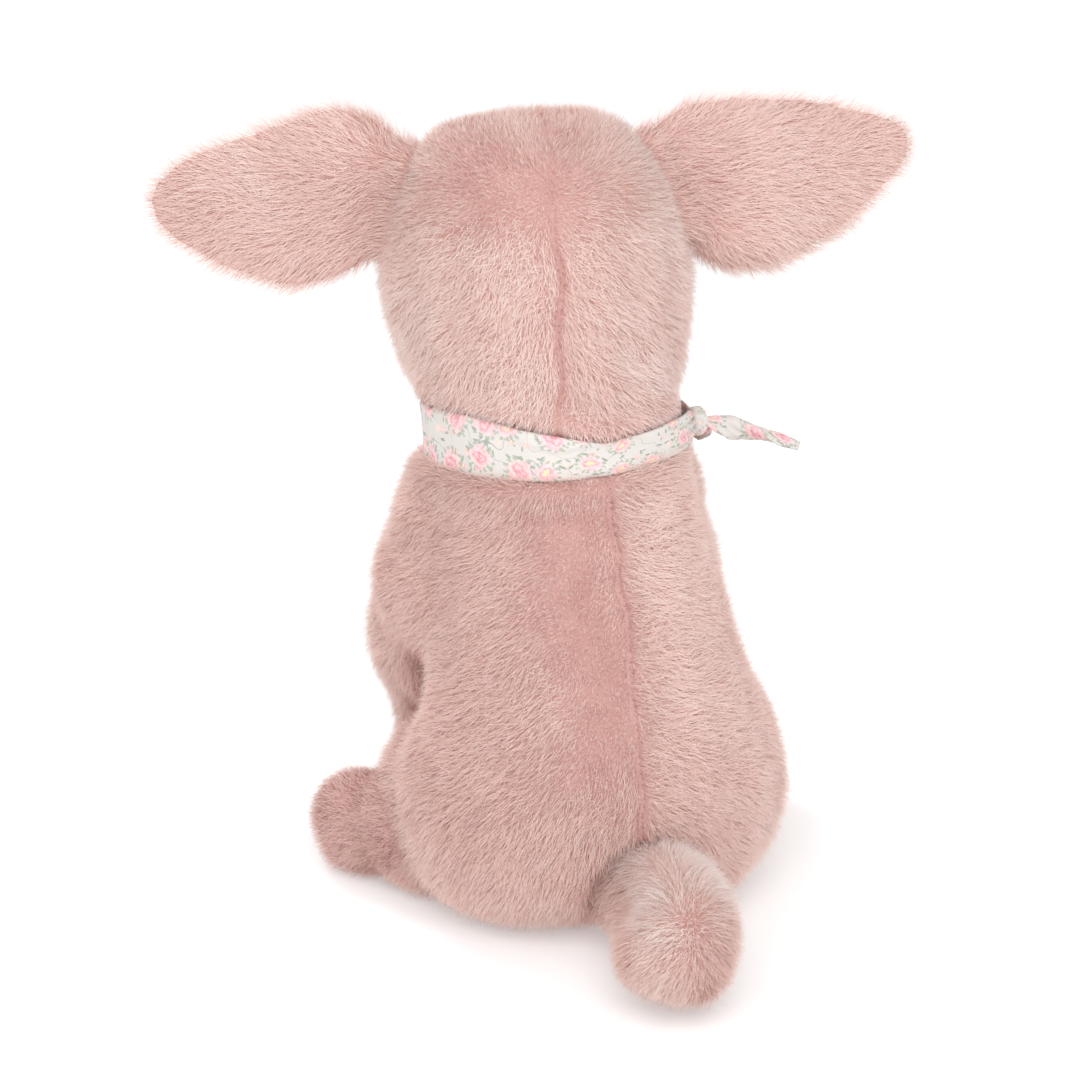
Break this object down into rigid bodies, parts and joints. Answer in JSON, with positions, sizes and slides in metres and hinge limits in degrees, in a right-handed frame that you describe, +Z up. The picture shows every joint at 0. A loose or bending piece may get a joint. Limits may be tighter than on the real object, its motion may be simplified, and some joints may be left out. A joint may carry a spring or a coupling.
{
  "type": "plush pig",
  "caption": "Sitting plush pig with large leaf-shaped ears, a thick fluffy tail and a printed cotton scarf tied round its neck.",
  "frame": {"origin": "middle of the flat seat, on the surface that the toy sits on", "axes": "+Z up, the toy faces -Y with its tail towards +Y, and its own left side is +X"},
  "size_m": [0.24, 0.2248, 0.2547],
  "materials": {
    "plush_fur": "long matt faux fur, pale dusty pink with lighter tips",
    "ear_lining": "short pile",
    "polyester_filling": "loose white fibre",
    "pellet_pouch": "plain woven pouch of pellets",
    "snout_plush": "short velvety pile",
    "embroidery_thread": "satin stitch",
    "eye_plastic": "polished dome",
    "washer_plastic": "natural moulded",
    "scarf_cotton": "fine woven cotton with a small floral print"
  },
  "bodies": {
    "torso": {"body_cover": "plush_fur", "body_stuffing": "polyester_filling", "seat_bean_pouch": "pellet_pouch", "neck_scarf": "scarf_cotton"},
    "neck": {"neck_cover": "plush_fur", "neck_stuffing": "polyester_filling"},
    "head": {"head_cover": "plush_fur", "head_stuffing": "polyester_filling", "snout_pad": "snout_plush", "nostril_left": "embroidery_thread", "nostril_right": "embroidery_thread", "eye_left": "eye_plastic", "eye_right": "eye_plastic", "eye_washer_left": "washer_plastic", "eye_washer_right": "washer_plastic"},
    "ear_left": {"ear_left_back": "plush_fur", "ear_left_lining": "ear_lining"},
    "ear_right": {"ear_right_back": "plush_fur", "ear_right_lining": "ear_lining"},
    "front_leg_left": {"front_leg_left_cover": "plush_fur", "front_leg_left_stuffing": "polyester_filling"},
    "front_leg_right": {"front_leg_right_cover": "plush_fur", "front_leg_right_stuffing": "polyester_filling"},
    "hind_leg_left": {"hind_leg_left_cover": "plush_fur", "hind_leg_left_stuffing": "polyester_filling"},
    "hind_leg_right": {"hind_leg_right_cover": "plush_fur", "hind_leg_right_stuffing": "polyester_filling"},
    "tail": {"tail_cover": "plush_fur", "tail_stuffing": "polyester_filling"}
  },
  "joints": [
    {"name": "neck_nod", "type": "hinge", "parent": "torso", "child": "neck", "pos_m": [0, -0.02982, 0.15104], "axis": [1, 0, 0], "range_deg": [-10, 10], "stiffness_Nm_per_rad": 4},
    {"name": "neck_turn", "type": "hinge", "parent": "neck", "child": "head", "pos_m": [0, -0.02982, 0.15104], "axis": [0, -0.1392, 0.9903], "range_deg": [-30, 30], "stiffness_Nm_per_rad": 1.5},
    {"name": "ear_left_flap", "type": "hinge", "parent": "head", "child": "ear_left", "pos_m": [0.04109, -0.06243, 0.22026], "axis": [-0.3713, -0.0369, 0.9278], "range_deg": [-16, 16], "stiffness_Nm_per_rad": 0.15},
    {"name": "ear_right_flap", "type": "hinge", "parent": "head", "child": "ear_right", "pos_m": [-0.03907, -0.04293, 0.22519], "axis": [0.4177, -0.2288, 0.8793], "range_deg": [-16, 16], "stiffness_Nm_per_rad": 0.15},
    {"name": "front_leg_left_swing", "type": "hinge", "parent": "torso", "child": "front_leg_left", "pos_m": [0.02823, -0.05838, 0.0976], "axis": [-1, 0, 0], "range_deg": [0, 45], "stiffness_Nm_per_rad": 0.8},
    {"name": "front_leg_right_swing", "type": "hinge", "parent": "torso", "child": "front_leg_right", "pos_m": [-0.02823, -0.05838, 0.0976], "axis": [-1, 0, 0], "range_deg": [0, 45], "stiffness_Nm_per_rad": 0.8},
    {"name": "hind_leg_left_splay", "type": "hinge", "parent": "torso", "child": "hind_leg_left", "pos_m": [0.04904, -0.02352, 0.0216], "axis": [0, 0, 1], "range_deg": [-5, 15], "stiffness_Nm_per_rad": 0.3},
    {"name": "hind_leg_right_splay", "type": "hinge", "parent": "torso", "child": "hind_leg_right", "pos_m": [-0.04904, -0.02352, 0.0216], "axis": [0, 0, -1], "range_deg": [-5, 15], "stiffness_Nm_per_rad": 0.3},
    {"name": "tail_wag", "type": "hinge", "parent": "torso", "child": "tail", "pos_m": [-0.00183, 0.04292, 0.0208], "axis": [0, 0, 1], "range_deg": [-12, 15], "stiffness_Nm_per_rad": 0.3}
  ]
}
